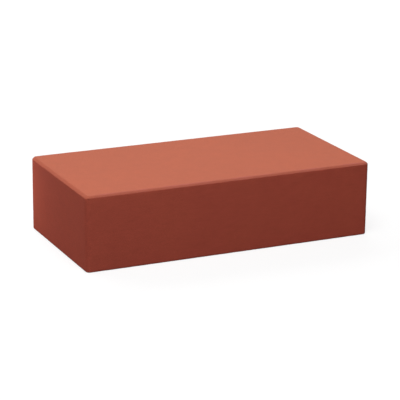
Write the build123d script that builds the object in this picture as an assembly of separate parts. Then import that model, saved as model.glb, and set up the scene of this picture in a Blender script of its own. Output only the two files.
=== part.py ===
from build123d import *
import os

# A solid fired clay brick. It lies on its bed face, with the origin at the middle of that face:
# +X runs along its length, +Y across its width and +Z up to its bevelled face.

# Driving dimensions, in millimetres
length = 200.0
width = 100.0
height = 50.0
top_bevel = 1.5        # each leg of the 45 degree bevel round the top face
upright_radius = 3.0   # easing of the four upright edges
bed_radius = 1.0       # easing of the edges round the bed face


def face_edges(block, end):
    """The edges round the lowest (end 0) or the highest (end -1) face of a block."""
    return block.faces().sort_by(Axis.Z)[end].edges()


def make_brick():
    """One pressed block: eased upright edges, a bevelled top face and an eased bed."""
    outline = RectangleRounded(length, width, upright_radius)
    block = extrude(outline, height)
    block = chamfer(face_edges(block, -1), top_bevel)
    block = fillet(face_edges(block, 0), bed_radius)
    return block


os.makedirs("parts", exist_ok=True)
export_step(make_brick(), "parts/brick.step")
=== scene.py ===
import math
import random

import bpy
import numpy as np
from mathutils import Matrix, Vector, noise


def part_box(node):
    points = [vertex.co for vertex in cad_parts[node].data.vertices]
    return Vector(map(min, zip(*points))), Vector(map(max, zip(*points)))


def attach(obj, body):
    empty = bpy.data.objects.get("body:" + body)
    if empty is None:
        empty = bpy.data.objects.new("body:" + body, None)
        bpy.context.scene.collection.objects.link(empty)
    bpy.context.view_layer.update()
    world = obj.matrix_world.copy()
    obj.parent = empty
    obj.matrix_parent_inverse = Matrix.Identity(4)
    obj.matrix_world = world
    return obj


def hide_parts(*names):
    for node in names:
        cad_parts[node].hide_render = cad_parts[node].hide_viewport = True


# A smooth red brick over its plain solid: rubbed arrises, fine relief and fired clay, in a white studio

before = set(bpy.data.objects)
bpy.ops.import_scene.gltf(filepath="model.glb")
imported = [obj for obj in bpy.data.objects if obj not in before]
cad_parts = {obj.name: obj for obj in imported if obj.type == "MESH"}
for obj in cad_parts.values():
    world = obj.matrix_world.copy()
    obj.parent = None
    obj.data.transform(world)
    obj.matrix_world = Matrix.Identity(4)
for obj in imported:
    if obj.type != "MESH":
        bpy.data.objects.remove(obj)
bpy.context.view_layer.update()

MM = 0.001

# The brick's box and edges: those of its solid, apart from the top bevel, which is rubbed unevenly
BOX_LOW = np.array(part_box("brick")[0])
BOX_HIGH = np.array(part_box("brick")[1])
BEVEL_LEG = 1.3 * MM          # the top bevel's leg, a little less than the solid's
LEFT_BEVEL_LEG = 1.75 * MM    # the same across the left end, a little more than the solid's
BEVEL_TURN = 8.0 * MM         # the stretch round a corner in which one becomes the other
UPRIGHT_RADIUS = 3.0 * MM
BED_RADIUS = 1.0 * MM
UPPER_SOFTENING = 0.40 * MM   # how far the arris between top and bevel is rubbed round
LOWER_SOFTENING = 0.15 * MM   # the same between bevel and sides, which stays crisper

# The mesh: a grid on all six faces, closer together near every edge
GRID_STEP = 1.0 * MM
EDGE_ZONE = 4.0 * MM          # the stretch along every edge that has lines of its own
EDGE_LINES = [line * MM for line in (0.0, 0.45, 0.85, 1.1, 1.25, 1.4, 1.6, 1.8, 1.95, 2.1, 2.5, 3.1)]
SURFACE_HALVINGS = 40         # how often a line is halved to find where it leaves the brick
SLOPE_STEP = 0.01 * MM        # how far to each side the distances are taken that give a normal

# Relief left in the clay by pressing and firing, always inwards from the solid's faces
WAVE_SIZE, WAVE_DEPTH = 55.0 * MM, 0.10 * MM
RIPPLE_SIZE, RIPPLE_DEPTH = 11.0 * MM, 0.025 * MM
GRAIN_SIZE, GRAIN_DEPTH = 3.2 * MM, 0.008 * MM
ARRIS_WIDTH = 0.8 * MM
ARRIS_SIZE, ARRIS_DEPTH = 4.0 * MM, 0.10 * MM
NICK_COUNT = 30
NICK_RADIUS = (0.5 * MM, 1.1 * MM)
NICK_DEPTH = (0.05 * MM, 0.16 * MM)
NICK_PLACES = 0.9             # the middles of the nicks lie where the arris share is above this
NICK_SEED = 7


def grid_lines(low, high):
    """Places of the grid lines across one side of the brick."""
    edge = np.array(EDGE_LINES)
    count = round((high - low - 2 * EDGE_ZONE) / GRID_STEP)
    middle = np.linspace(low + EDGE_ZONE, high - EDGE_ZONE, count + 1)
    return np.concatenate([low + edge, middle, (high - edge)[::-1]])


def box_grid():
    """Points and quads of a closed grid on the six faces of the brick's box."""
    lines = [grid_lines(BOX_LOW[axis], BOX_HIGH[axis]) for axis in range(3)]
    shape = [len(line) for line in lines]
    on_face = np.zeros(shape, bool)
    for axis in range(3):
        for end in (0, -1):
            face = [slice(None)] * 3
            face[axis] = end
            on_face[tuple(face)] = True
    number = np.full(shape, -1)
    number[on_face] = np.arange(on_face.sum())
    index = np.argwhere(on_face)
    points = np.stack([lines[axis][index[:, axis]] for axis in range(3)], 1)
    quads = []
    for axis in range(3):
        for end in (0, -1):
            face = np.take(number, end, axis)
            corners = [face[:-1, :-1], face[1:, :-1], face[1:, 1:], face[:-1, 1:]]
            if (axis == 1) != (end == 0):
                corners.reverse()
            quads.append(np.stack(corners, -1).reshape(-1, 4))
    return points, np.concatenate(quads)


def eased(share):
    """A share from 0 to 1, made to start and end gently."""
    return share * share * (3 - 2 * share)


def softer_max(first, second, reach):
    """The larger of two distances, with the corner between them rubbed round over a reach."""
    near = np.maximum(reach - np.abs(first - second), 0.0) / reach
    return np.maximum(first, second) + near * near * reach / 4


def wall_distance(points):
    """Distance outside the upright walls, with their rounded upright edges."""
    beyond = np.abs(points[:, :2]) - (BOX_HIGH[:2] - UPRIGHT_RADIUS)
    outside = np.linalg.norm(np.maximum(beyond, 0.0), axis=1)
    return outside + np.minimum(beyond.max(1), 0.0) - UPRIGHT_RADIUS


def bevel_leg(points):
    """Leg of the top bevel near each point, wider across the left end than elsewhere."""
    beyond_left = BOX_LOW[0] - points[:, 0]
    beyond_sides = np.abs(points[:, 1]) - BOX_HIGH[1]
    turn = np.clip(0.5 + (beyond_left - beyond_sides) / BEVEL_TURN, 0.0, 1.0)
    return BEVEL_LEG + (LEFT_BEVEL_LEG - BEVEL_LEG) * eased(turn)


def surface_distances(points):
    """Distances outside the walls with their rounded bed, the bevel and the top face."""
    wall = wall_distance(points)
    below = BOX_LOW[2] - points[:, 2]
    above = points[:, 2] - BOX_HIGH[2]
    corner = np.stack([wall, below], 1) + BED_RADIUS
    rounded = np.linalg.norm(np.maximum(corner, 0.0), axis=1)
    rounded = rounded + np.minimum(corner.max(1), 0.0) - BED_RADIUS
    bevel = (wall + above + bevel_leg(points)) / math.sqrt(2)
    return rounded, bevel, above


def surface_distance(points):
    """Distance outside the whole brick."""
    rounded, bevel, above = surface_distances(points)
    return softer_max(softer_max(rounded, bevel, LOWER_SOFTENING), above, UPPER_SOFTENING)


def onto_surface(points):
    """Moves the box's grid points onto the brick, each along a line from its core."""
    core = np.clip(points, BOX_LOW + EDGE_ZONE, BOX_HIGH - EDGE_ZONE)
    way = points - core
    way = way / np.linalg.norm(way, axis=1)[:, None]
    near = np.zeros(len(points))
    far = np.full(len(points), 2 * EDGE_ZONE)
    for _ in range(SURFACE_HALVINGS):
        middle = (near + far) / 2
        inside = surface_distance(core + way * middle[:, None]) < 0
        near = np.where(inside, middle, near)
        far = np.where(inside, far, middle)
    return core + way * near[:, None]


def outward(points):
    """Unit normals of the brick's surface."""
    slopes = []
    for axis in range(3):
        shift = np.zeros(3)
        shift[axis] = SLOPE_STEP
        slopes.append(surface_distance(points + shift) - surface_distance(points - shift))
    slopes = np.stack(slopes, 1)
    return slopes / np.linalg.norm(slopes, axis=1)[:, None]


def noise_at(points, size):
    """Smooth noise from 0 to 1 with features of about the given size."""
    values = [noise.noise(Vector(point)) for point in points / size]
    return np.clip(0.5 + 0.5 * np.array(values), 0.0, 1.0)


def arris_share(points):
    """1 on an arris, falling to 0 at ARRIS_WIDTH from it."""
    rounded, bevel, above = surface_distances(points)
    # the second largest of the three distances is 0 where two of the surfaces meet
    top_pair = np.sort(np.stack([rounded, bevel, above], 1), axis=1)[:, 1]
    beyond = np.abs(points[:, :2]) - (BOX_HIGH[:2] - UPRIGHT_RADIUS)
    upright = np.minimum(beyond.min(1), 0.0)
    bed = np.minimum(np.minimum(wall_distance(points), BOX_LOW[2] - points[:, 2]) + BED_RADIUS, 0.0)
    nearest = np.maximum(np.maximum(top_pair, upright), bed)
    return np.clip(1.0 + nearest / ARRIS_WIDTH, 0.0, 1.0)


def nick_depths(points, arris):
    """Small nicks along the arrises, at seeded places."""
    draw = random.Random(NICK_SEED)
    on_arris = np.flatnonzero(arris > NICK_PLACES)
    depth = np.zeros(len(points))
    for _ in range(NICK_COUNT):
        centre = points[on_arris[draw.randrange(len(on_arris))]]
        radius = draw.uniform(*NICK_RADIUS)
        deep = draw.uniform(*NICK_DEPTH)
        share = np.clip(1.0 - np.linalg.norm(points - centre, axis=1) / radius, 0.0, 1.0)
        depth = np.maximum(depth, deep * eased(share))
    return depth


def put_in_scene(name, data):
    """A new object in the scene for a mesh, a lamp or a camera."""
    holder = bpy.data.objects.new(name, data)
    bpy.context.scene.collection.objects.link(holder)
    return holder


def make_brick():
    """The brick as one closed mesh, with its relief, inside the solid's box."""
    points, quads = box_grid()
    points = onto_surface(points)
    normals = outward(points)
    arris = arris_share(points)
    depth = WAVE_DEPTH * noise_at(points, WAVE_SIZE)
    depth += RIPPLE_DEPTH * noise_at(points, RIPPLE_SIZE)
    depth += GRAIN_DEPTH * noise_at(points, GRAIN_SIZE)
    depth += ARRIS_DEPTH * arris * noise_at(points, ARRIS_SIZE)
    depth += nick_depths(points, arris)
    # the shallowest place stays where the solid's face is
    points = points - normals * (depth - depth.min())[:, None]
    mesh = bpy.data.meshes.new("brick_body")
    mesh.from_pydata(points.tolist(), [], quads.tolist())
    mesh.polygons.foreach_set("use_smooth", np.ones(len(quads), bool))
    worn = mesh.attributes.new("arris", "FLOAT", "POINT")
    worn.data.foreach_set("value", arris.astype(np.float32))
    mesh.update()
    return put_in_scene("brick_body", mesh)


# Fired clay

CLAY_LIT_TOP = (0.50, 0.142, 0.085)    # faces that look up, paler and whiter: painted light and sheen
CLAY_SHADED_SIDE = (0.482, 0.093, 0.060)  # upright faces at the left end, a deeper red: painted shade
CLAY_SHADED_RIGHT_SIDE = (0.455, 0.082, 0.053)  # upright faces at the right end, darker still: painted shade
CLAY_ORANGE = (0.53, 0.125, 0.060)
CLAY_DUST_AND_SHEEN = (0.52, 0.143, 0.130)   # rubbed arrises of the top, a dusty pink: partly dust, partly painted sheen
IRON_SPECK = (0.13, 0.035, 0.026)
PALE_GRAIN = (0.62, 0.27, 0.17)
SPECULAR = 0.02                    # unglazed clay is close to matt
LOOKING_UP = (0.10, 0.95)          # upward part of the normal where a side ends and where a top begins

# Noises in the clay: the size of their features, how many finer levels they have, and how strong those are
CLOUDS = (60.0 * MM, 3.0, 0.55)
MOTTLE = (6.0 * MM, 4.0, 0.60)
DRAG = (1.5 * MM, 2.0, 0.50)
SAND = (0.40 * MM, 2.0, 0.60)
DUST_AND_SHEEN = (16.0 * MM, 2.0, 0.50)

# How much lighter or darker the noises make the colour, over the middle part of their range
MARK_SPAN = (0.25, 0.75)
CLOUD_TONE = 0.020
MOTTLE_TONE = 0.035
DRAG_TONE = 0.030
SAND_TONE = 0.20
DRAG_STRETCH = 4.0       # the drag marks on the sides are this many times longer than high
ORANGE_SPAN = (0.45, 0.75)
ORANGE_SHARE = 0.12      # how far the strongest clouds turn orange

# Dust and painted sheen on the rubbed arrises of the top: patchy, and none on the left end
DUST_AND_SHEEN_SPAN = (0.35, 0.65)
DUST_AND_SHEEN_THIN, DUST_AND_SHEEN_THICK = 0.20, 0.75
BARE_LEFT_END = 2.0 * MM     # how far the stretch without dust and sheen reaches in from the left end
BARE_LEFT_FADE = 5.0 * MM    # the stretch beyond it in which the dust and sheen begin

# Specks: size of the cells that they lie in, radius, share of the cells that have one, strength
IRON_CELL, IRON_RADIUS, IRON_SHARE, IRON_STRENGTH = 2.0 * MM, 0.22 * MM, 0.35, 0.50
PALE_CELL, PALE_RADIUS, PALE_SHARE, PALE_STRENGTH = 1.7 * MM, 0.20 * MM, 0.30, 0.35
SPECK_CORE = 0.5         # the part of a speck's radius that has its full colour

# Roughness from the mottling and the sand, and the depth of the finest relief
ROUGH_SPAN = (0.3, 0.7)
ROUGHNESS = (0.67, 0.75)
SAND_ROUGHNESS = 0.06
BUMP_DEPTH = 0.035 * MM


class Shading:
    """The node tree of a material or a world, with short ways to add and join nodes."""

    def __init__(self, owner):
        owner.use_nodes = True
        self.tree = owner.node_tree
        self.tree.nodes.clear()

    def add(self, kind, **inputs):
        """A node, with each named input set to a value or joined to another node's socket."""
        node = self.tree.nodes.new(kind)
        for name, value in inputs.items():
            self.put(node.inputs[name.replace("_", " ")], value)
        return node

    def put(self, socket, value):
        """Sets a socket to a value, or joins it to another node's socket."""
        if isinstance(value, bpy.types.NodeSocket):
            self.tree.links.new(value, socket)
        else:
            socket.default_value = value

    def maths(self, operation, first, second):
        """A number worked out from two others."""
        node = self.tree.nodes.new("ShaderNodeMath")
        node.operation = operation
        self.put(node.inputs[0], first)
        self.put(node.inputs[1], second)
        return node.outputs[0]

    def span(self, value, low, high, to_low=0.0, to_high=1.0):
        """Maps low..high to to_low..to_high, and holds it there outside."""
        node = self.add("ShaderNodeMapRange", Value=value)
        ends = {"From Min": low, "From Max": high, "To Min": to_low, "To Max": to_high}
        for name, number in ends.items():
            node.inputs[name].default_value = number
        return node.outputs["Result"]

    def blend(self, share, first, second):
        """Mixes two colours."""
        node = self.tree.nodes.new("ShaderNodeMix")
        node.data_type = "RGBA"
        self.put(node.inputs["Factor"], share)
        colours = [socket for socket in node.inputs if socket.type == "RGBA"]
        for socket, value in zip(colours, (first, second)):
            self.put(socket, value if isinstance(value, bpy.types.NodeSocket) else (*value, 1.0))
        return [socket for socket in node.outputs if socket.type == "RGBA"][0]

    def vector_node(self, operation, vector):
        """A node that works on a vector, such as a colour or a place."""
        node = self.tree.nodes.new("ShaderNodeVectorMath")
        node.operation = operation
        self.put(node.inputs[0], vector)
        return node

    def scaled(self, colour, amount):
        """A colour made lighter or darker."""
        node = self.vector_node("SCALE", colour)
        self.put(node.inputs["Scale"], amount)
        return node.outputs["Vector"]

    def stretched(self, place, amounts):
        """A place with each of its axes multiplied by an amount."""
        node = self.vector_node("MULTIPLY", place)
        self.put(node.inputs[1], amounts)
        return node.outputs["Vector"]

    def distance(self, place):
        """How far a place is from the origin."""
        return self.vector_node("LENGTH", place).outputs["Value"]

    def noise(self, place, size, detail, roughness):
        """Noise from 0 to 1 with features of about the given size in metres."""
        node = self.add("ShaderNodeTexNoise", Vector=place, Scale=1.0 / size)
        node.inputs["Detail"].default_value = detail
        node.inputs["Roughness"].default_value = roughness
        return node.outputs["Fac"]

    def specks(self, place, cell, radius, share):
        """Small round spots in a share of the cells of the given size."""
        node = self.add("ShaderNodeTexVoronoi", Vector=place, Scale=1.0 / cell)
        near = self.span(node.outputs["Distance"], radius / cell, SPECK_CORE * radius / cell)
        parts = self.add("ShaderNodeSeparateColor", Color=node.outputs["Color"])
        chosen = self.maths("LESS_THAN", parts.outputs["Red"], share)
        return self.maths("MULTIPLY", near, chosen)


def make_fired_clay():
    """Smooth pressed red clay: faint clouds, fine sand, sparse specks, dust and painted sheen on the
    rubbed arrises, painted light on the top and painted shade on the sides.
    """
    material = bpy.data.materials.new("fired_clay")
    clay = Shading(material)
    coordinates = clay.add("ShaderNodeTexCoord").outputs
    place = coordinates["Object"]
    along = clay.add("ShaderNodeSeparateXYZ", Vector=place).outputs["X"]
    upward = clay.add("ShaderNodeSeparateXYZ", Vector=coordinates["Normal"]).outputs["Z"]
    arris = clay.add("ShaderNodeAttribute")
    arris.attribute_name = "arris"
    clouds = clay.noise(place, *CLOUDS)
    mottle = clay.noise(place, *MOTTLE)
    drag = clay.noise(clay.stretched(place, (1.0 / DRAG_STRETCH, 1.0, 1.0)), *DRAG)
    sand = clay.noise(place, *SAND)
    iron = clay.specks(place, IRON_CELL, IRON_RADIUS, IRON_SHARE)
    pale = clay.specks(place, PALE_CELL, PALE_RADIUS, PALE_SHARE)

    # the clay, with painted light on the faces that look up and painted shade on the upright faces
    left, right = float(BOX_LOW[0]), float(BOX_HIGH[0])
    facing = clay.span(upward, *LOOKING_UP)
    # painted shade: the upright faces grow darker towards the right end
    side = clay.blend(clay.span(along, left, right), CLAY_SHADED_SIDE, CLAY_SHADED_RIGHT_SIDE)
    colour = clay.blend(facing, side, CLAY_LIT_TOP)
    colour = clay.blend(clay.span(clouds, *ORANGE_SPAN, 0.0, ORANGE_SHARE), colour, CLAY_ORANGE)

    # lighter and darker marks, of which the drag marks are only on the sides
    streaks = clay.span(drag, *MARK_SPAN, -DRAG_TONE, DRAG_TONE)
    streaks = clay.maths("MULTIPLY", streaks, clay.maths("SUBTRACT", 1.0, facing))
    tone = clay.maths("ADD", 1.0, streaks)
    for marks, amount in ((clouds, CLOUD_TONE), (mottle, MOTTLE_TONE), (sand, SAND_TONE)):
        tone = clay.maths("ADD", tone, clay.span(marks, *MARK_SPAN, -amount, amount))
    colour = clay.scaled(colour, tone)

    # dust and painted sheen on the rubbed arrises, then the specks
    dust_and_sheen = clay.span(clay.noise(place, *DUST_AND_SHEEN), *DUST_AND_SHEEN_SPAN, DUST_AND_SHEEN_THIN, DUST_AND_SHEEN_THICK)
    past_bare_left = clay.span(along, left + BARE_LEFT_END, left + BARE_LEFT_END + BARE_LEFT_FADE)
    for share in (arris.outputs["Fac"], facing, past_bare_left):
        dust_and_sheen = clay.maths("MULTIPLY", dust_and_sheen, share)
    colour = clay.blend(dust_and_sheen, colour, CLAY_DUST_AND_SHEEN)
    colour = clay.blend(clay.maths("MULTIPLY", pale, PALE_STRENGTH), colour, PALE_GRAIN)
    colour = clay.blend(clay.maths("MULTIPLY", iron, IRON_STRENGTH), colour, IRON_SPECK)

    rough = clay.span(mottle, *ROUGH_SPAN, *ROUGHNESS)
    rough = clay.maths("ADD", rough, clay.span(sand, *ROUGH_SPAN, 0.0, SAND_ROUGHNESS))
    height = clay.maths("SUBTRACT", sand, iron)
    bump = clay.add("ShaderNodeBump", Height=height, Strength=1.0, Distance=BUMP_DEPTH)
    shader = clay.add("ShaderNodeBsdfPrincipled", Base_Color=colour, Roughness=rough)
    clay.put(shader.inputs["Normal"], bump.outputs["Normal"])
    shader.inputs["Specular IOR Level"].default_value = SPECULAR
    clay.add("ShaderNodeOutputMaterial", Surface=shader.outputs["BSDF"])
    return material


# Stage: floor, light and camera

FLOOR_SIZE = 8.0
FLOOR_SHOWN = 0.26       # share of the light that the floor shows the camera
FLOOR_GLOW = 0.78        # white added to what the floor shows beside the brick
FLOOR_BOUNCE = 0.30      # share of the light that the floor throws back on the brick
SHADOW_NEAR = 0.25       # from here on the added white grows
SHADOW_FAR = 0.70        # from here on the floor is all white
WORLD_LIGHT = 0.12

# Lamps: name, place, width and height in metres, power in watts
LAMPS = (
    ("front_softbox", (-0.18, -0.38, 0.85), 0.60, 0.60, 6.15),
    ("back_softbox", (-0.08, 0.90, 0.70), 2.00, 0.80, 10.8),
    ("left_fill", (-0.60, -0.05, 0.30), 0.40, 0.30, 0.06),
    ("left_card", (-0.132, 0.075, 0.034), 0.03, 0.03, 0.0070),
)

# Camera, solved from the photo's straight edges
CAMERA_AZIMUTH = math.radians(-25.06)
CAMERA_ELEVATION = math.radians(17.24)
CAMERA_ROLL = math.radians(0.64)
CAMERA_DISTANCE = 1203.6 * MM
CAMERA_ASIDE = 0.40 * MM
CAMERA_RAISED = -3.17 * MM
FRAME_PIXELS = 400.0
FOCAL_PIXELS = 1813.3
SENSOR_WIDTH = 36.0      # in millimetres, like the lens


def grey(level):
    """A colour without a hue, from black at 0 to white at 1."""
    return (level, level, level, 1.0)


def shown_ray(shading):
    """1 for a ray that the camera sees, directly, in a reflection or through something clear."""
    path = shading.add("ShaderNodeLightPath").outputs
    seen = shading.maths("MAXIMUM", path["Is Camera Ray"], path["Is Glossy Ray"])
    return shading.maths("MAXIMUM", seen, path["Is Transmission Ray"])


def make_floor_white():
    """White paint that keeps a soft shadow, and throws little light back on the brick's sides."""
    material = bpy.data.materials.new("floor_white")
    paint = Shading(material)
    place = paint.add("ShaderNodeTexCoord").outputs["Object"]
    white = paint.span(paint.distance(place), SHADOW_NEAR, SHADOW_FAR, FLOOR_GLOW, 1.0)
    glow = paint.add("ShaderNodeEmission", Strength=white)
    lit = paint.add("ShaderNodeBsdfDiffuse", Color=grey(FLOOR_SHOWN))
    shown = paint.tree.nodes.new("ShaderNodeAddShader")
    paint.put(shown.inputs[0], lit.outputs[0])
    paint.put(shown.inputs[1], glow.outputs[0])
    bounce = paint.add("ShaderNodeBsdfDiffuse", Color=grey(FLOOR_BOUNCE))
    either = paint.tree.nodes.new("ShaderNodeMixShader")
    paint.put(either.inputs[0], shown_ray(paint))
    paint.put(either.inputs[1], bounce.outputs[0])
    paint.put(either.inputs[2], shown.outputs[0])
    paint.add("ShaderNodeOutputMaterial", Surface=either.outputs[0])
    return material


def make_floor():
    """One flat sheet that the brick lies on."""
    half = FLOOR_SIZE / 2
    level = float(BOX_LOW[2])
    corners = [(-half, -half, level), (half, -half, level), (half, half, level), (-half, half, level)]
    mesh = bpy.data.meshes.new("floor")
    mesh.from_pydata(corners, [], [(0, 1, 2, 3)])
    mesh.materials.append(make_floor_white())
    floor = put_in_scene("floor", mesh)


def make_world():
    """White to the camera, and a weak even light on everything else."""
    world = bpy.data.worlds.new("studio")
    sky = Shading(world)
    strength = sky.span(shown_ray(sky), 0.0, 1.0, WORLD_LIGHT, 1.0)
    background = sky.add("ShaderNodeBackground", Color=grey(1.0), Strength=strength)
    sky.add("ShaderNodeOutputWorld", Surface=background.outputs[0])
    bpy.context.scene.world = world


def make_lamps():
    """Soft rectangular white lamps, all facing the middle of the brick and out of the camera's sight."""
    target = Vector((0.0, 0.0, float(BOX_HIGH[2]) / 2))
    for name, place, width, height, power in LAMPS:
        lamp = bpy.data.lights.new(name, "AREA")
        lamp.shape = "RECTANGLE"
        lamp.size = width
        lamp.size_y = height
        lamp.energy = power
        holder = put_in_scene(name, lamp)
        holder.visible_camera = False
        holder.location = place
        holder.rotation_mode = "QUATERNION"
        holder.rotation_quaternion = (target - Vector(place)).to_track_quat("-Z", "Y")


def make_camera():
    """A long lens looking down on the brick's front and left end, as in the photo."""
    azimuth, elevation, roll = CAMERA_AZIMUTH, CAMERA_ELEVATION, CAMERA_ROLL
    back = Vector((
        math.sin(azimuth) * math.cos(elevation),
        -math.cos(azimuth) * math.cos(elevation),
        math.sin(elevation),
    ))
    level = Vector((math.cos(azimuth), math.sin(azimuth), 0.0))
    upright = back.cross(level)
    right = math.cos(roll) * level + math.sin(roll) * upright
    up = -math.sin(roll) * level + math.cos(roll) * upright
    middle = Vector((0.0, 0.0, float(BOX_LOW[2] + BOX_HIGH[2]) / 2))
    camera = bpy.data.cameras.new("camera")
    camera.sensor_width = SENSOR_WIDTH
    camera.lens = SENSOR_WIDTH * FOCAL_PIXELS / FRAME_PIXELS
    holder = put_in_scene("camera", camera)
    place = middle + back * CAMERA_DISTANCE + right * CAMERA_ASIDE + up * CAMERA_RAISED
    holder.matrix_world = Matrix.Translation(place) @ Matrix((right, up, back)).transposed().to_4x4()
    bpy.context.scene.camera = holder


brick = make_brick()
brick.data.materials.append(make_fired_clay())
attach(brick, "root")
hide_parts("brick")

make_floor()
make_world()
make_lamps()
make_camera()
bpy.context.scene.view_settings.view_transform = "Standard"
